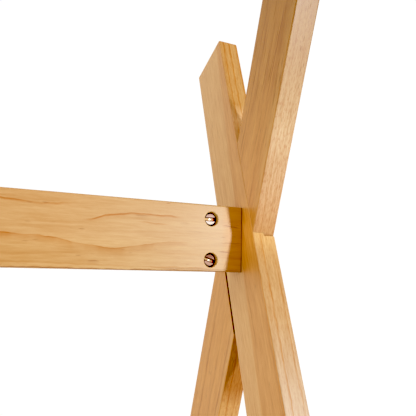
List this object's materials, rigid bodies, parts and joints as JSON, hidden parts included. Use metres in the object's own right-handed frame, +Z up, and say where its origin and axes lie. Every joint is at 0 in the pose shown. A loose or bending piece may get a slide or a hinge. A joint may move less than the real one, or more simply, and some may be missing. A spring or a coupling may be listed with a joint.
{
  "type": "hanging rack",
  "caption": "Freestanding hanging rack of crossed pine legs: two half-lapped end frames joined by a rail bolted at the crossing and by low rails at front and back.",
  "frame": {"origin": "on the floor, under the middle of the rack", "axes": "+X along the rails, +Y to the back, +Z up"},
  "size_m": [0.8416, 0.6472, 0.9993],
  "materials": {
    "leg_pine": "clear satin lacquer on planed pine",
    "rail_pine": "clear satin lacquer on planed pine",
    "nickel": "bright nickel plate",
    "pad_rubber": "matt"
  },
  "bodies": {
    "root": {"bolt_rail_back_left_lower": "nickel", "bolt_rail_back_left_upper": "nickel", "bolt_rail_back_right_lower": "nickel", "bolt_rail_back_right_upper": "nickel", "bolt_rail_front_left_lower": "nickel", "bolt_rail_front_left_upper": "nickel", "bolt_rail_front_right_lower": "nickel", "bolt_rail_front_right_upper": "nickel", "bolt_rail_top_left_lower": "nickel", "bolt_rail_top_left_upper": "nickel", "bolt_rail_top_right_lower": "nickel", "bolt_rail_top_right_upper": "nickel", "leg_left_back": "leg_pine", "leg_left_front": "leg_pine", "leg_right_back": "leg_pine", "leg_right_front": "leg_pine", "nut_rail_back_left_lower": "nickel", "nut_rail_back_left_upper": "nickel", "nut_rail_back_right_lower": "nickel", "nut_rail_back_right_upper": "nickel", "nut_rail_front_left_lower": "nickel", "nut_rail_front_left_upper": "nickel", "nut_rail_front_right_lower": "nickel", "nut_rail_front_right_upper": "nickel", "nut_rail_top_left_lower": "nickel", "nut_rail_top_left_upper": "nickel", "nut_rail_top_right_lower": "nickel", "nut_rail_top_right_upper": "nickel", "pad_left_back": "pad_rubber", "pad_left_front": "pad_rubber", "pad_right_back": "pad_rubber", "pad_right_front": "pad_rubber", "rail_back": "rail_pine", "rail_front": "rail_pine", "rail_top": "rail_pine"}
  },
  "joints": []
}
